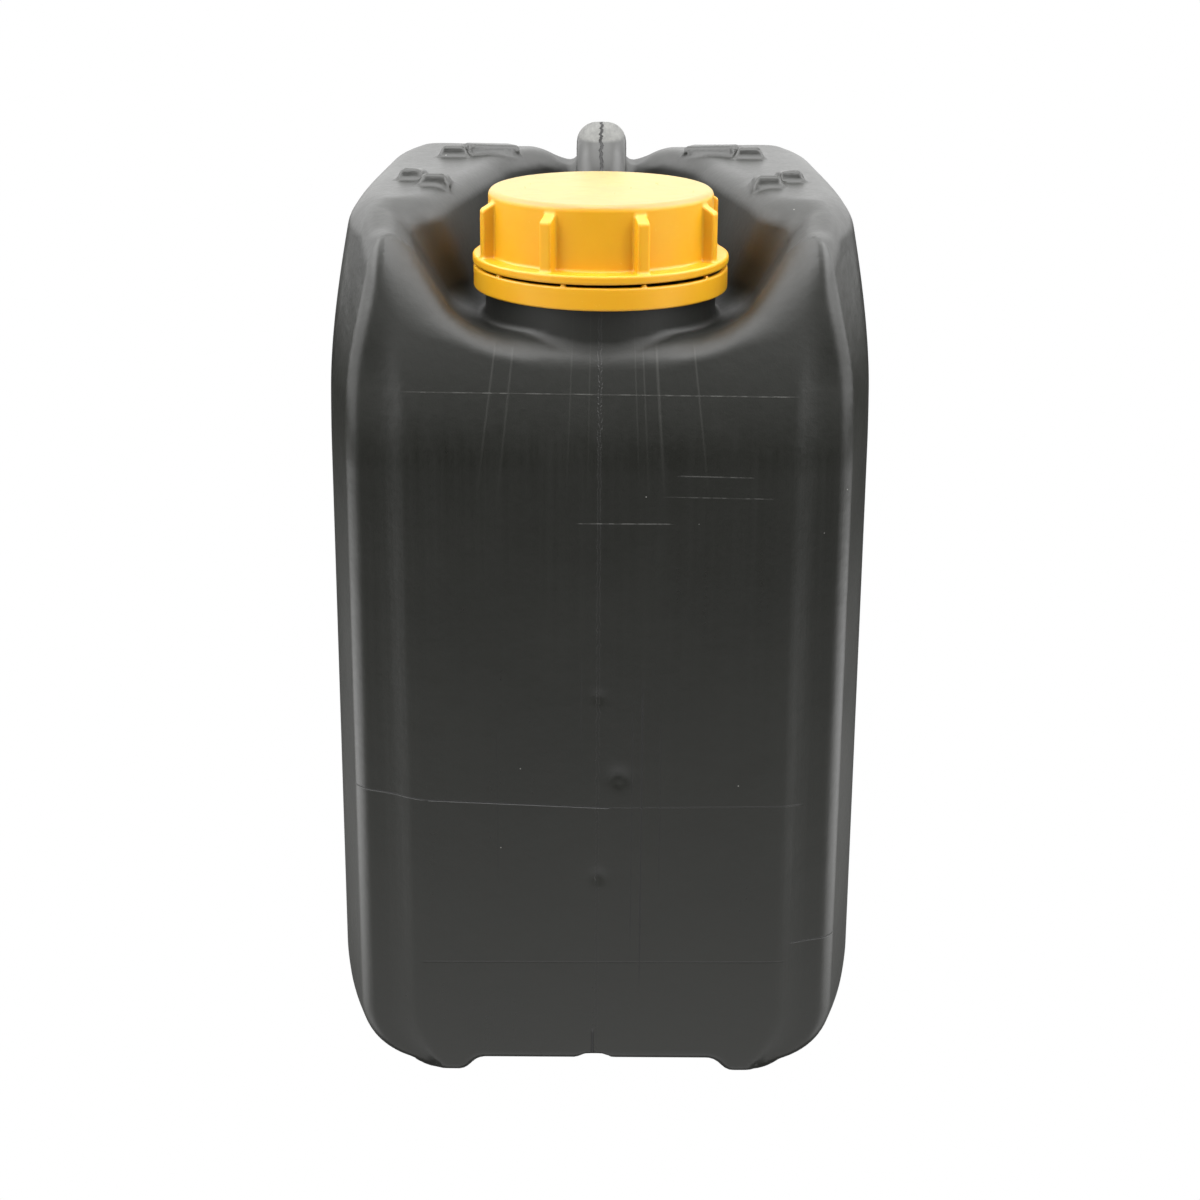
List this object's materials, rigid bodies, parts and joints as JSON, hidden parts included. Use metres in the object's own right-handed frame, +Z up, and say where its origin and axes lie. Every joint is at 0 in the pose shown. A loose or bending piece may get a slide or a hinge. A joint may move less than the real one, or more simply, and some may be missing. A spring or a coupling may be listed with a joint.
{
  "type": "jerry can",
  "caption": "Stackable blow moulded jerry can with an integral handle, raised shoulders around a recessed neck, and a ribbed screw cap over a tamper ring.",
  "frame": {"origin": "centre of the footprint, on the surface that the feet rest on", "axes": "+Z up along the height, -Y towards the neck end, which is the front, and X across the width"},
  "size_m": [0.157, 0.186, 0.2716],
  "materials": {
    "black_polyethylene": "satin blow moulded",
    "yellow_polyethylene": "satin injection moulded",
    "liner_foam": "matt"
  },
  "bodies": {
    "can": {"can_body": "black_polyethylene"},
    "liner": {"sealing_gasket": "liner_foam"},
    "cap": {"screw_cap": "yellow_polyethylene"},
    "ring": {"tamper_ring": "yellow_polyethylene"}
  },
  "joints": [
    {"name": "cap_lift", "type": "slide", "parent": "can", "child": "liner", "axis": [0, 0, 1], "range_m": [0, 0.0121]},
    {"name": "cap_turn", "type": "hinge", "parent": "liner", "child": "cap", "pos_m": [0, -0.051, 0.262], "axis": [0, 0, 1], "range_deg": [0, 720]},
    {"name": "ring_spin", "type": "hinge", "parent": "can", "child": "ring", "pos_m": [0, -0.051, 0.238], "axis": [0, 0, 1], "continuous": true}
  ],
  "couplings": [
    {"joint": "cap_lift", "follows": "cap_turn", "m_per_rad": 0.00095493}
  ]
}
